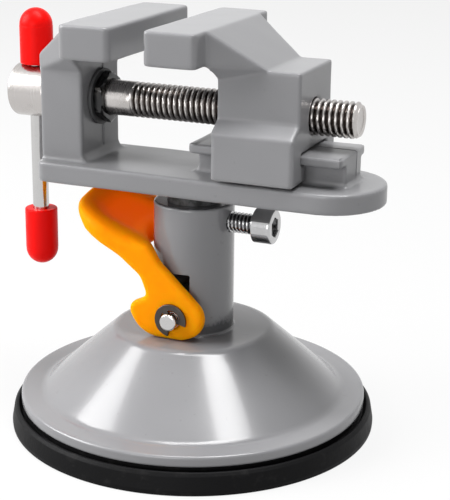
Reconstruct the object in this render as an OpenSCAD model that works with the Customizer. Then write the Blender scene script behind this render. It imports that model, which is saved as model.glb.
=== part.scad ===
// Suction base vise: a small bench vise that turns on a lever-locked suction base.
// Frame: origin on the table, on the axis that the vise head turns about. +Z is up, and +X
// runs along the lead screw, from the fixed jaw towards the free end of the screw.

/* [Suction cup] */
// Distance that the rubber cup reaches out beyond the metal rim
cup_overhang = 2.8; // [2.7:0.1:6]
// Height of the cup's lip outside the metal rim
cup_lip_h = 6.2; // [5:0.1:6.6]
// Thickness of the rubber disc
cup_t = 3.2; // [2.4:0.1:3.6]
// Diameter of the boss moulded in the middle of the cup
cup_boss_d = 26; // [24:0.5:30]
// Height of the top of that boss above the table
cup_boss_h = 8.5; // [8:0.1:9]
// Width of the open groove between the cup's lip and the metal rim
cup_groove_w = 0.8; // [0.6:0.1:1]
// Diameter of the steel plate moulded into the boss
insert_d = 20; // [14:0.5:21]
// Thickness of that plate
insert_t = 1.8; // [1:0.1:2.2]
// Diameter of the stud on that plate
stud_d = 5; // [4:0.1:6]
// Length of the stud above the plate
stud_len = 9.6; // [6:0.1:12]

/* [Base housing] */
// Diameter of the housing's rim
rim_d = 99.4; // [97:0.2:100]
// Height of the underside of the rim above the table
rim_z = 6.9; // [6.5:0.1:7.5]
// Height of the rim's edge
rim_h = 3.1; // [2.4:0.1:3.6]
// Diameter where the cone meets the flat rim
cone_foot_d = 86.2; // [80:0.5:90]
// Diameter of the flat shoulder on top of the cone
shoulder_d = 44.8; // [42:0.2:50]
// Height of the shoulder above the table
shoulder_z = 28.4; // [26:0.2:30]
// Radius that rounds the shoulder's edge
shoulder_r = 3.5; // [1:0.5:5]
// Wall of the housing
wall = 3; // [2.4:0.1:3.4]
// Wall of the column round the post
column_wall = 3.85; // [3:0.05:5]
// Height of the column above the shoulder
column_h = 37.1; // [35.6:0.1:40]
// Length of the boss that guides the stem, below the shoulder
guide_len = 6.4; // [5:0.2:7]
// Outside diameter of the guide boss
guide_d = 16; // [14:0.5:18]
// Width of the two slots that the lever pin travels in
slot_w = 7; // [5.4:0.2:8]
// Height of the slots
slot_h = 15.6; // [13:0.2:16]

/* [Pull stem and lever pin] */
// Diameter of the stem that pulls the cup up
stem_d = 9; // [8.4:0.2:10]
// Diameter of the lever pin
pin_d = 4.9; // [4:0.1:5]
// Length of pin outside each of its clips
pin_over = 1.9; // [1:0.1:3]
// Length of stem above the pin's axis
stem_over = 5; // [4:0.2:7]
// Outside diameter of the washer under the spring
seat_d = 18; // [16:0.5:22]
// Thickness of that washer
seat_t = 1.2; // [0.8:0.1:2]
// Wire diameter of the release spring
spring_wire_d = 1; // [0.8:0.1:1.2]
// Mean diameter of the release spring
spring_d = 12; // [11.4:0.2:13]
// Turns of the release spring
spring_turns = 4; // [3:0.5:5]
// Outside diameter of the clips on the pin
clip_d = 9.4; // [8:0.2:10]
// Thickness of a clip
clip_t = 0.7; // [0.5:0.1:0.8]
// Depth of the groove that a clip sits in
clip_groove = 0.5; // [0.3:0.1:0.8]

/* [Cam lever] */
// Room between the column and each side plate of the lever
fork_gap = 0.6; // [0.3:0.1:1.5]
// Thickness of a side plate
fork_t = 3.5; // [2.4:0.1:4]
// Distance from the pin to the flat that rests on the shoulder when released
cam_low = 6; // [5.7:0.05:6.05]
// Lift that the cam gives for each radian that the lever turns
cam_rate = 5; // [4:0.1:5]
// Angle that the lever swings from released to locked
lever_throw = 63; // [50:1:63]
// Flat behind the cam that the lever stands on when locked
toe_len = 1.4; // [0.8:0.1:2]
// Distance that the near side plate reaches past the pin, away from the thumb rest
near_heel = 9.3; // [7.5:0.1:9.8]
// The same distance for the far side plate
far_heel = 5.8; // [5.6:0.1:9.8]
// Radius that rounds that end of both plates
heel_r = 6.1; // [5:0.1:6.4]
// Rise of the thumb rest, in degrees above the table
rest_angle = 21.2; // [18:0.2:24]
// Distance that the thumb rest reaches out from the column's axis
rest_reach = 34; // [32:0.2:34.2]
// Distance of the inner end of the thumb rest's top from the column's axis
rest_start = 7.5; // [6:0.1:9]
// Height of the inner end of the thumb rest's top above the pin
rest_rise = 20; // [19.5:0.1:21]
// Bevel on the top of the thumb rest's tip
rest_bevel = 1; // [0.6:0.1:1.8]
// Depth of the thumb rest's rim
rest_deep = 5.7; // [4.6:0.1:6.5]
// Distance from the column's axis to where the thumb rest's rim meets the side plates
root_reach = 18.1; // [17.6:0.1:19]
// Depth of the thumb rest there
root_deep = 7; // [6.4:0.1:7.6]
// Radius of the thumb rest's corners
rest_corner_r = 13.2; // [10:0.2:13.6]
// Skin of the thumb rest over its hollow underside
rest_t = 2.6; // [1.8:0.1:3]

/* [Swivel post and clamp screw] */
// Diameter of the post that the head turns on
post_d = 15; // [14:0.2:16]
// Length of post inside the column
post_depth = 15.5; // [12:0.5:17.5]
// Length of post that shows between the column and the bed
swivel_gap = 4; // [3:0.1:5.5]
// Diameter of the spigot pressed into the bed
spigot_d = 10; // [8:0.2:12]
// Length of the spigot
spigot_len = 4; // [3:0.1:4.6]
// Distance of the clamp screw's axis below the top of the column
clamp_drop = 5.2; // [4.7:0.1:7]
// Thread diameter of the clamp screw
clamp_d = 5.9; // [5:0.1:6.4]
// Thread pitch of the clamp screw
clamp_pitch = 1.1; // [0.8:0.05:1.2]
// Gap between the column and the head of the clamp screw
clamp_gap = 7.4; // [5:0.1:9]
// Diameter of the clamp screw's head
clamp_head_d = 9.8; // [9:0.1:11]
// Length of the clamp screw's head
clamp_head_len = 5.6; // [4.4:0.1:6]
// Width across the flats of the hexagon socket
clamp_socket = 5; // [4:0.1:5.4]
// Depth of the hexagon socket
clamp_socket_depth = 2.6; // [2:0.1:3.2]
// Depth of the groove round the post
post_groove = 0.8; // [0.5:0.1:1.2]

/* [Vise bed] */
// Thickness of the bed plate
bed_t = 5.8; // [5.2:0.1:7]
// Width of the bed plate
bed_w = 30.8; // [28:0.2:36]
// Reach of the bed plate on the side of the fixed jaw
bed_left = 42.2; // [40:0.2:46]
// Reach of the bed plate on the side of the screw's free end
bed_right = 55.1; // [53:0.2:60]
// Radius of the bed plate's square corners
bed_corner_r = 3; // [1:0.5:6]
// Start of the rail that the moving jaw slides on
rail_x0 = 2.5; // [1.8:0.1:4]
// Length of the rail
rail_len = 44; // [38:0.5:48]
// Width of the rail's web
rail_web_w = 13; // [10:0.2:14]
// Height of the rail's web
rail_web_h = 5.8; // [5:0.1:6.4]
// Width of the rail's head
rail_head_w = 20.4; // [18:0.2:22]
// Thickness of the rail's head
rail_head_t = 2.8; // [2.2:0.1:3.2]

/* [Jaws] */
// Width of both jaws
jaw_w = 51.6; // [46:0.2:60]
// Height of the top of the jaws above the screw's axis
jaw_rise = 23.5; // [21:0.1:27]
// Height of a jaw's head
jaw_head_h = 9.2; // [8:0.1:10]
// Depth of a jaw's head along the screw
jaw_head_len = 15; // [13:0.2:16]
// Radius of the upright corners of a jaw's head
jaw_corner_r = 1.6; // [0.5:0.1:3]
// Distance of the fixed jaw's gripping face from the column's axis
fixed_face = 13.3; // [12:0.1:15]
// Distance between the gripping faces as shown
jaw_gap = 9.7; // [9.7:0.1:14]
// Width of a jaw's arm where it meets the head
arm_w = 38; // [32:0.5:42]
// Length of the fixed jaw's body along the screw
fixed_body_len = 13.1; // [11:0.1:15]
// Width of the fixed jaw's body
fixed_body_w = 22.6; // [18:0.2:26]
// Distance from the underside of the head to the outer top edge of the fixed jaw's body
fixed_slope_drop = 1.6; // [0.5:0.1:2.5]
// Height of the fixed jaw's body over the washer, before its arm starts to widen
flare_room = 1.4; // [0.5:0.1:2]
// Radius of the fillet between the fixed jaw and the plate
fixed_fillet = 2.5; // [1:0.1:4]
// Distance from the moving jaw's face to its block
block_offset = 15.5; // [14:0.1:17]
// Length of the moving jaw's block along the screw
block_len = 23.2; // [20:0.1:26]
// Width of the block
block_w = 25.2; // [22:0.2:28]
// Distance of the top of the block below the underside of the head
block_drop = 0.9; // [0.5:0.1:2]
// Length of the slope between the head and the block
slope_len = 14.8; // [12:0.1:17]
// Distance below the underside of the head where the moving jaw's arm starts to widen
block_flare_drop = 4.2; // [2.2:0.1:5]
// Width of the moving jaw's foot
foot_w = 34.4; // [32:0.2:38]
// Height of the foot, up to its sloping shoulder
foot_h = 12.8; // [11.5:0.1:13.5]
// Height of the foot's sloping shoulder
foot_slope_h = 3; // [1:0.1:4]
// Depth of the groove across the moving jaw's face
vee_depth = 0.7; // [0.3:0.1:1.2]
// Distance of that groove's middle below the top of the jaw
vee_drop = 4.4; // [3:0.1:5]

/* [Lead screw and handle] */
// Height of the lead screw's axis above the top of the bed plate
screw_rise = 17; // [16.2:0.1:19]
// Thread diameter of the lead screw
screw_d = 9.9; // [9:0.1:10.4]
// Thread pitch of the lead screw
screw_pitch = 1.65; // [1.4:0.05:2]
// Distance from the column's axis to the start of the thread, on the fixed jaw's side
thread_start = 18; // [17:0.1:20]
// Distance from the column's axis to the free end of the screw
screw_reach = 47.8; // [46:0.1:54]
// Diameter of the screw's head
hub_d = 15.2; // [13:0.1:17]
// Length of the screw's head
hub_len = 12; // [11:0.1:15]
// Chamfer on the screw's head
hub_chamfer = 0.8; // [0.3:0.1:1.5]
// Distance from the washer to the handle bar's axis
hub_hole_offset = 6.1; // [5:0.1:7]
// Thickness of the washers on the screw
washer_t = 1; // [0.6:0.1:1.4]
// Diameter of the washers on the screw
washer_d = 15.8; // [14:0.2:18]
// Width across the flats of the retaining nut
nut_af = 13; // [12:0.1:14]
// Thickness of the retaining nut
nut_t = 2.6; // [2:0.1:4]
// Diameter of the handle bar
bar_d = 4.7; // [4:0.1:5.4]
// Length of the handle bar
bar_len = 66; // [60:1:72]
// Diameter of the handle's caps
cap_d = 9.5; // [8.4:0.1:11]
// Length of the upper cap, with its round end
upper_cap_len = 15.8; // [13:0.2:18]
// Length of the lower cap, with its round end
lower_cap_len = 17; // [13:0.2:19]
// Thickness of a cap's round end over the end of the bar
cap_end_t = 4.8; // [2:0.2:5]

/* [Fits] */
// Clearance all round a turning or sliding fit
fit_gap = 0.05; // [0.03:0.01:0.08]
// Gap between flat faces that only bear on each other
face_gap = 0.1; // [0.05:0.05:0.2]
// Gap between rubber and what it holds
soft_gap = 0.3; // [0.2:0.05:0.4]
// Clearance round the rail in the moving jaw
slide_gap = 0.2; // [0.1:0.05:0.3]
// Gap between the bed plate and the moving jaw
foot_gap = 0.8; // [0.4:0.1:1.2]
// Gap between the column and the lever's arch
arch_gap = 1.8; // [1:0.1:2.4]

/* [Hidden] */
$fn = 96;
small_fn = 48;
over = 1;                     // how far a cutting solid runs past what it cuts
sliver = 0.01;                // thickness of the end faces that a jaw's arm is stretched between
deg_per_rad = 180 / PI;

rim_r = rim_d / 2;
cup_r = rim_r + cup_overhang;
rim_top_z = rim_z + rim_h;
foot_r = cone_foot_d / 2;
shoulder_rad = shoulder_d / 2;
post_bore_r = post_d / 2 + fit_gap;
column_r = post_bore_r + column_wall;
column_top_z = shoulder_z + column_h;
post_foot_z = column_top_z - post_depth;
clamp_z = column_top_z - clamp_drop;
cone_run = foot_r - shoulder_rad;
cone_rise = shoulder_z - rim_top_z;
cone_len = sqrt(cone_run * cone_run + cone_rise * cone_rise);
inner_shift = wall * cone_len / cone_rise;   // how far the cone's inside lies in from its outside
roof_z = shoulder_z - wall;
pin_z = shoulder_z + cam_low + face_gap;     // height of the lever pin, with the base released
stem_foot_z = cup_boss_h + soft_gap;
stem_bore_r = stem_d / 2 + fit_gap;
well_r = stem_d / 2 + 2;                     // room round the stem inside the column
slot_z0 = pin_z - pin_d / 2 - 1;
stem_top_z = pin_z + stem_over;
insert_z = 4.6;
plate_hole_r = pin_d / 2 + fit_gap;
fork_in_w = 2 * (column_r + fork_gap);
fork_w = fork_in_w + 2 * fork_t;
clip_y = fork_w / 2 + face_gap;

bed_z = column_top_z + swivel_gap;
bed_top_z = bed_z + bed_t;
screw_z = bed_top_z + screw_rise;
rail_x1 = rail_x0 + rail_len;
rail_neck_z = bed_top_z + rail_web_h;
rail_top_z = rail_neck_z + rail_head_t;
jaw_top_z = screw_z + jaw_rise;
jaw_low_z = jaw_top_z - jaw_head_h;
fixed_slope_z = jaw_low_z - fixed_slope_drop;
fixed_flare_z = screw_z + washer_d / 2 + flare_room;
block_top_z = jaw_low_z - block_drop;
block_flare_z = jaw_low_z - block_flare_drop;
vee_z = jaw_top_z - vee_drop;
fixed_x0 = -bed_left;
fixed_x1 = fixed_x0 + fixed_body_len;
fixed_head_x0 = -fixed_face - jaw_head_len;
moving_face_x = -fixed_face + jaw_gap;
moving_head_x1 = moving_face_x + jaw_head_len;
block_x0 = moving_face_x + block_offset;
block_x1 = block_x0 + block_len;
foot_z = bed_top_z + foot_gap;
foot_top_z = foot_z + foot_h;
screw_bore_r = screw_d / 2 + fit_gap;
hub_x1 = fixed_x0 - washer_t - 2 * fit_gap;
hub_x0 = hub_x1 - hub_len;
bar_x = hub_x1 - hub_hole_offset;
nut_x0 = fixed_x1 + washer_t + 2 * fit_gap;
upper_cap_z = screw_z + hub_d / 2 + face_gap;
bar_top_z = upper_cap_z + upper_cap_len - cap_end_t;
bar_foot_z = bar_top_z - bar_len;
clamp_head_x = column_r + clamp_gap;
post_groove_r = post_d / 2 - post_groove;

// --- shapes that repeat ---------------------------------------------------------------

// Turns a solid drawn along +Z so that it lies along +X
module along_x() { rotate([0, 90, 0]) children(); }

// Draws a side view, x across and z up, as a solid of width w, centred on the column's axis
module side_view(w) {
    rotate([90, 0, 0]) translate([0, 0, -w / 2]) linear_extrude(w) children();
}

// Rectangle with round corners, from one corner to the other
module round_rect(x0, y0, x1, y1, r) {
    translate([x0 + r, y0]) square([x1 - x0 - 2 * r, y1 - y0]);
    translate([x0, y0 + r]) square([x1 - x0, y1 - y0 - 2 * r]);
    for (x = [x0 + r, x1 - r]) {
        for (y = [y0 + r, y1 - r]) {
            translate([x, y]) circle(r, $fn = small_fn);
        }
    }
}

// Flat ring about the screw's axis, starting at x
module screw_ring(x, d, hole_r, t) {
    translate([x, 0, screw_z]) along_x() difference() {
        cylinder(d = d, h = t);
        translate([0, 0, -over]) cylinder(r = hole_r, h = t + 2 * over);
    }
}

// Half outline of a threaded shank from z0 to z1: vee grooves cut into radius r, one a pitch
function thread_outline(r, pitch, z0, z1) =
    let (depth = 0.6 * pitch, turns = floor((z1 - z0) / pitch), lead = (z1 - z0 - turns * pitch) / 2)
    [for (i = [0:turns - 1], p = [[0.1, 0], [0.42, 1], [0.58, 1], [0.9, 0]])
        [r - p[1] * depth, z0 + lead + (i + p[0]) * pitch]];

// Arc of points on a radius, from one angle to another
function arc(cx, cy, r, a0, a1, steps) =
    [for (i = [0:steps]) let (a = a0 + (a1 - a0) * i / steps) [cx + r * cos(a), cy + r * sin(a)]];

// --- base -----------------------------------------------------------------------------

// Rounds the edge between the cone and the shoulder with an arc that touches both
cone_angle = atan2(cone_rise, cone_run);
round_back = shoulder_r * tan(cone_angle / 2);

module base_housing() {
    color("silver") difference() {
        rotate_extrude() polygon(concat(
            [[rim_r - 0.6, rim_z], [rim_r, rim_z + 0.6]],
            arc(rim_r - 0.8, rim_top_z - 0.8, 0.8, 0, 90, 6),
            [[foot_r, rim_top_z]],
            arc(shoulder_rad - round_back, shoulder_z - shoulder_r, shoulder_r,
                90 - cone_angle, 90, 8),
            [[column_r, shoulder_z],
             [column_r, column_top_z - 0.6],
             [column_r - 0.6, column_top_z],
             [post_bore_r, column_top_z],
             [post_bore_r, post_foot_z],
             [well_r, post_foot_z],
             [well_r, shoulder_z],
             [stem_bore_r, shoulder_z],
             [stem_bore_r, shoulder_z - guide_len],
             [guide_d / 2, shoulder_z - guide_len],
             [guide_d / 2, roof_z],
             [foot_r - inner_shift - (roof_z - rim_top_z) * cone_run / cone_rise, roof_z],
             [foot_r - inner_shift, rim_top_z],
             [foot_r - inner_shift, rim_z]]));
        for (side = [0, 180]) {
            rotate([0, 0, side]) translate([-slot_w / 2, -column_r - over, slot_z0]) {
                cube([slot_w, column_r + over, slot_h]);
            }
        }
        translate([0, 0, clamp_z]) along_x() {
            cylinder(d = clamp_d + 2 * fit_gap, h = column_r + over, $fn = small_fn);
        }
    }
}

module suction_cup() {
    lip_in_r = rim_r + cup_groove_w;
    color("#232325") rotate_extrude() polygon([
        [0, 0],
        [cup_r - 0.4, 0],
        [cup_r, 0.5],
        [cup_r - 0.8, cup_lip_h - 1],
        [cup_r - 1.3, cup_lip_h - 0.1],
        [lip_in_r + 0.2, cup_lip_h],
        [lip_in_r - 0.3, cup_lip_h - 0.8],
        [rim_r - 0.1, rim_z - 2.3],
        [rim_r - 0.8, rim_z - 2.3],
        [rim_r - 1.1, rim_z],
        [foot_r - inner_shift + 1, rim_z],
        [foot_r - inner_shift - 1, cup_t],
        [cup_boss_d / 2 + 1, cup_t],
        [cup_boss_d / 2, cup_t + 1],
        [cup_boss_d / 2, cup_boss_h],
        [stud_d / 2 + soft_gap, cup_boss_h],
        [stud_d / 2 + soft_gap, insert_z + insert_t + soft_gap],
        [insert_d / 2 + soft_gap, insert_z + insert_t + soft_gap],
        [insert_d / 2 + soft_gap, insert_z - soft_gap],
        [0, insert_z - soft_gap]]);
}

module cup_insert() {
    color("darkgray") {
        translate([0, 0, insert_z]) cylinder(d = insert_d, h = insert_t);
        translate([0, 0, insert_z + insert_t - sliver]) cylinder(d = stud_d, h = stud_len + sliver);
    }
}

module pull_stem() {
    stud_top_z = insert_z + insert_t + stud_len;
    color("silver") difference() {
        union() {
            translate([0, 0, stem_foot_z]) cylinder(d = stem_d, h = stem_top_z - 1 - stem_foot_z);
            translate([0, 0, stem_top_z - 1]) cylinder(r1 = stem_d / 2, r2 = stem_d / 2 - 1, h = 1);
        }
        translate([0, 0, stem_foot_z - over]) {
            cylinder(d = stud_d + 2 * fit_gap, h = stud_top_z + 1 - stem_foot_z + over);
        }
        translate([0, 0, pin_z]) rotate([90, 0, 0]) {
            cylinder(r = plate_hole_r, h = stem_d + 2 * over, center = true, $fn = small_fn);
        }
    }
}

module spring_seat() {
    color("darkgray") translate([0, 0, stem_foot_z]) difference() {
        cylinder(d = seat_d, h = seat_t);
        translate([0, 0, -over]) cylinder(r = stem_bore_r, h = seat_t + 2 * over);
    }
}

// One unbroken wire wound round the stem, from the washer up to the guide boss
module release_spring() {
    sides = 8;
    rings_per_turn = 16;
    rings = spring_turns * rings_per_turn;
    wire_r = spring_wire_d / 2;
    z0 = stem_foot_z + seat_t + wire_r + fit_gap;
    z1 = shoulder_z - guide_len - wire_r - fit_gap;
    points = [for (i = [0:rings], j = [0:sides - 1])
        let (a = 360 * i / rings_per_turn, b = 360 * j / sides,
             r = spring_d / 2 + wire_r * cos(b))
        [r * cos(a), r * sin(a), z0 + (z1 - z0) * i / rings + wire_r * sin(b)]];
    skin = [for (i = [0:rings - 1], j = [0:sides - 1])
        let (k = (j + 1) % sides, p = i * sides, q = (i + 1) * sides)
        [p + j, p + k, q + k, q + j]];
    ends = [[for (j = [sides - 1:-1:0]) j], [for (j = [0:sides - 1]) rings * sides + j]];
    color("gray") polyhedron(points, concat(skin, ends));
}

module lever_pin() {
    bevel = 0.4;
    end = clip_y + clip_t + fit_gap + pin_over;
    groove_r = pin_d / 2 - clip_groove;
    half = [[0, end], [pin_d / 2 - bevel, end], [pin_d / 2, end - bevel],
            [pin_d / 2, clip_y + clip_t + fit_gap], [groove_r, clip_y + clip_t + fit_gap],
            [groove_r, clip_y - fit_gap], [pin_d / 2, clip_y - fit_gap]];
    color("gainsboro") translate([0, 0, pin_z]) rotate([90, 0, 0]) rotate_extrude($fn = small_fn)
        polygon(concat(half, [for (i = [len(half) - 1:-1:0]) [half[i][0], -half[i][1]]]));
}

// E-shaped clip: a ring open at one side, with three teeth that reach into the pin's groove
module clip_shape() {
    ring_in_r = clip_d / 2 - 1.7;
    tooth_w = 1.6;
    groove_r = pin_d / 2 - clip_groove + fit_gap;
    mouth = 84;
    difference() {
        union() {
            difference() {
                circle(d = clip_d, $fn = small_fn);
                circle(r = ring_in_r, $fn = small_fn);
            }
            for (a = [0, 125, -125]) {
                rotate(a) translate([groove_r - 0.3, -tooth_w / 2]) {
                    square([ring_in_r + 0.4 - groove_r + 0.3, tooth_w]);
                }
            }
        }
        circle(r = groove_r, $fn = small_fn);
        rotate(180) polygon([[0, 0], [clip_d, -clip_d * tan(mouth / 2)],
                             [clip_d, clip_d * tan(mouth / 2)]]);
    }
}

module pin_clips() {
    back_angle = 123;
    color("dimgray") for (side = [1, -1]) {
        translate([0, side * (clip_y + clip_t / 2), pin_z]) rotate([90, 0, 0])
            translate([0, 0, -clip_t / 2]) linear_extrude(clip_t)
            rotate(back_angle) clip_shape();
    }
}

// --- cam lever --------------------------------------------------------------------------

// The cam's edge lies at distance cam_low + cam_rate * turn from the pin, so it lifts evenly
function cam_point(a) =
    let (h = cam_low + cam_rate * a / deg_per_rad)
    [-h * sin(a) - cam_rate * cos(a), -h * cos(a) + cam_rate * sin(a)];

cam_end = cam_point(lever_throw);
toe = [cam_end[0] - toe_len * cos(lever_throw), cam_end[1] + toe_len * sin(lever_throw)];

// Height of the thumb rest's top above the pin, at distance d from the column's axis
function rest_top(d) = rest_rise + (d - rest_start) * tan(rest_angle);

// Lower edge of the thumb rest, from its tip inwards, as distance from the axis and height
rest_knee = rest_reach - rest_deep;
rest_under = [[-rest_reach, rest_top(rest_reach) - 2.4],
              [-rest_reach + 1.5, rest_top(rest_reach - 1.5) - 1.3 - rest_deep * 0.1],
              [-rest_knee, rest_top(rest_knee) - rest_deep]];
rest_root = [-root_reach, rest_top(root_reach) - root_deep];

// Outline of a side plate whose heel reaches out to x = reach, with the pin at its origin
module fork_outline(reach) {
    heel_x = reach - heel_r;
    polygon(concat(
        [[heel_x + 0.1, -cam_low]],
        arc(heel_x, heel_r - cam_low + 0.5, heel_r, -60, 40, 10),
        [[-4.2, rest_rise - 4.2], [-5.6, rest_rise - 2.2]],
        [[-rest_start, rest_rise]],
        [[rest_root[0] - 0.5, rest_top(0.5 - rest_root[0])]],
        [rest_root, [-16, 15.9], [-12.6, 13.2], [-10, 11.2], [-8.2, 6.6]],
        [[-8.4, 5.4], [-12.3, 3.6], [-13.3, 2.2], toe],
        [for (i = [10:-1:0]) cam_point(lever_throw * i / 10)]));
}

// Side view of the thumb rest: a slab that thins towards its tip
module rest_outline() {
    polygon(concat(
        [[-rest_start, rest_rise],
         [rest_bevel - rest_reach, rest_top(rest_reach - rest_bevel)],
         [-rest_reach, rest_top(rest_reach) - 1.4 * rest_bevel]],
        rest_under,
        [rest_root, [-16, 15.9], [-6, 15.9], [-5.6, rest_rise - 2.2]]));
}

// The rest's hollow underside, which leaves a skin of rest_t under its top face
module rest_hollow() {
    drop = rest_t / cos(rest_angle);
    outer_x = rest_reach - fork_t;
    inner_x = column_r + arch_gap + 1.8;
    polygon([[-outer_x, rest_top(outer_x) - drop],
             [-inner_x, rest_top(inner_x) - drop],
             [-inner_x, 0],
             [-outer_x, 0]]);
}

module cam_lever() {
    color("orange") difference() {
        union() {
            translate([0, -(fork_w - fork_t) / 2, pin_z]) side_view(fork_t) fork_outline(near_heel);
            translate([0, (fork_w - fork_t) / 2, pin_z]) side_view(fork_t) fork_outline(far_heel);
            intersection() {
                translate([0, 0, pin_z]) side_view(fork_w) rest_outline();
                linear_extrude(2 * pin_z + over) {
                    round_rect(-rest_reach, -fork_w / 2, rest_reach, fork_w / 2, rest_corner_r);
                }
            }
        }
        intersection() {
            translate([0, 0, pin_z]) side_view(fork_in_w) rest_hollow();
            linear_extrude(2 * pin_z) {
                round_rect(fork_t - rest_reach, -fork_in_w / 2, 0, fork_in_w / 2,
                    rest_corner_r - fork_t);
            }
        }
        intersection() {
            cylinder(r = column_r + arch_gap, h = column_top_z);
            translate([-fork_in_w, -fork_in_w / 2, 0]) cube([2 * fork_in_w, fork_in_w, column_top_z]);
        }
        translate([0, 0, pin_z]) rotate([90, 0, 0]) {
            cylinder(r = plate_hole_r, h = fork_w + 2 * over, center = true, $fn = small_fn);
        }
    }
}

// --- swivel -----------------------------------------------------------------------------

module clamp_screw() {
    tip_x = post_groove_r + fit_gap;
    thread_r = clamp_d / 2;
    color("gainsboro") translate([0, 0, clamp_z]) along_x() difference() {
        rotate_extrude($fn = small_fn) polygon(concat(
            [[0, tip_x], [thread_r - 1, tip_x], [thread_r, tip_x + 1]],
            thread_outline(thread_r, clamp_pitch, tip_x + 1, clamp_head_x - 1.2),
            [[thread_r, clamp_head_x],
             [clamp_head_d / 2 - 0.2, clamp_head_x],
             [clamp_head_d / 2, clamp_head_x + 0.2],
             [clamp_head_d / 2, clamp_head_x + clamp_head_len - 0.6],
             [clamp_head_d / 2 - 0.6, clamp_head_x + clamp_head_len],
             [0, clamp_head_x + clamp_head_len]]));
        translate([0, 0, clamp_head_x + clamp_head_len - clamp_socket_depth]) {
            cylinder(d = clamp_socket / cos(30), h = clamp_socket_depth + over, $fn = 6);
        }
    }
}

module swivel_post() {
    groove_w = clamp_d - 0.6;
    color("silver") rotate_extrude() polygon([
        [0, post_foot_z + fit_gap],
        [post_d / 2 - 0.8, post_foot_z + fit_gap],
        [post_d / 2, post_foot_z + fit_gap + 0.8],
        [post_d / 2, clamp_z - groove_w / 2 - post_groove],
        [post_groove_r, clamp_z - groove_w / 2],
        [post_groove_r, clamp_z + groove_w / 2],
        [post_d / 2, clamp_z + groove_w / 2 + post_groove],
        [post_d / 2, bed_z],
        [spigot_d / 2, bed_z],
        [spigot_d / 2, bed_z + spigot_len],
        [0, bed_z + spigot_len]]);
}

// --- bed and jaws -------------------------------------------------------------------------

// Head of a jaw, from x0 to x1
module jaw_head(x0, x1) {
    translate([0, 0, jaw_low_z]) linear_extrude(jaw_head_h) {
        round_rect(x0, -jaw_w / 2, x1, jaw_w / 2, jaw_corner_r);
    }
}

// Thin upright rectangle across the vise, at x, that a jaw's arm is stretched over
module arm_section(x, w, z0, z1) {
    translate([x, -w / 2, z0]) cube([sliver, w, z1 - z0]);
}

module vise_bed() {
    body_top_z = jaw_low_z + 1;
    color("silver") difference() {
        union() {
            translate([0, 0, bed_z]) linear_extrude(bed_t) {
                round_rect(fixed_x0, -bed_w / 2, 0, bed_w / 2, bed_corner_r);
                translate([-bed_left / 2, -bed_w / 2]) {
                    square([bed_left / 2 + bed_right - bed_w / 2, bed_w]);
                }
                translate([bed_right - bed_w / 2, 0]) circle(d = bed_w);
            }
            side_view(rail_web_w) translate([rail_x0 + 1.5, bed_top_z - over]) {
                square([rail_len - 1.5, rail_web_h + over]);
            }
            side_view(rail_web_w) polygon([[rail_x0, bed_top_z], [rail_x0 + 2, bed_top_z - over],
                                           [rail_x0 + 2, bed_top_z + 2]]);
            translate([0, 0, rail_neck_z]) linear_extrude(rail_head_t) {
                round_rect(rail_x0, -rail_head_w / 2, rail_x1, rail_head_w / 2, 1);
            }
            side_view(fixed_body_w) difference() {
                translate([fixed_x0, bed_top_z - over]) {
                    square([fixed_body_len + fixed_fillet, fixed_flare_z - bed_top_z + over]);
                }
                translate([fixed_x1, bed_top_z + fixed_fillet]) {
                    square([fixed_fillet + over, fixed_flare_z]);
                }
                translate([fixed_x1 + fixed_fillet, bed_top_z + fixed_fillet]) circle(fixed_fillet);
            }
            hull() {
                arm_section(fixed_x0, fixed_body_w, fixed_flare_z - over, fixed_slope_z);
                arm_section(fixed_x1 - sliver, fixed_body_w, fixed_flare_z - over, fixed_flare_z);
                arm_section(fixed_head_x0, arm_w, jaw_low_z, jaw_top_z);
            }
            jaw_head(fixed_head_x0, -fixed_face);
        }
        translate([fixed_x0 - over, 0, screw_z]) along_x() {
            cylinder(r = screw_bore_r, h = fixed_body_len + 2 * over);
        }
        translate([0, 0, bed_z - over]) {
            cylinder(d = spigot_d + 2 * sliver, h = spigot_len + face_gap + over);
        }
    }
}

module movable_jaw() {
    vee_half = vee_depth * 1.6;
    foot_shoulder_z = foot_top_z + foot_slope_h;
    color("silver") difference() {
        union() {
            translate([0, 0, foot_z]) linear_extrude(foot_top_z - foot_z) {
                round_rect(block_x0, -foot_w / 2, block_x1, foot_w / 2, 1);
            }
            translate([block_x0, 0, 0]) rotate([90, 0, 90]) linear_extrude(block_len) polygon([
                [-foot_w / 2, foot_top_z - over], [foot_w / 2, foot_top_z - over],
                [foot_w / 2, foot_top_z], [block_w / 2, foot_shoulder_z],
                [block_w / 2, block_top_z], [-block_w / 2, block_top_z],
                [-block_w / 2, foot_shoulder_z], [-foot_w / 2, foot_top_z]]);
            hull() {
                arm_section(moving_head_x1 - sliver, arm_w, jaw_low_z, jaw_top_z);
                arm_section(moving_head_x1 + slope_len, block_w, block_top_z - sliver, block_top_z);
                arm_section(block_x0, block_w, block_flare_z, block_flare_z + over);
            }
            jaw_head(moving_face_x, moving_head_x1);
        }
        translate([block_x0 - over, 0, screw_z]) along_x() {
            cylinder(r = screw_bore_r, h = block_len + 2 * over);
        }
        translate([block_x0 - over, -rail_web_w / 2 - slide_gap, foot_z - over]) {
            cube([block_len + 2 * over, rail_web_w + 2 * slide_gap, rail_neck_z - foot_z + 2 * over]);
        }
        translate([block_x0 - over, -rail_head_w / 2 - slide_gap, rail_neck_z - slide_gap]) {
            cube([block_len + 2 * over, rail_head_w + 2 * slide_gap, rail_head_t + 2 * slide_gap]);
        }
        side_view(jaw_w + 2 * over) polygon([
            [moving_face_x - over, vee_z - vee_half * (1 + over / vee_depth)],
            [moving_face_x + vee_depth, vee_z],
            [moving_face_x - over, vee_z + vee_half * (1 + over / vee_depth)]]);
    }
}

// --- lead screw and handle ------------------------------------------------------------------

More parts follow.
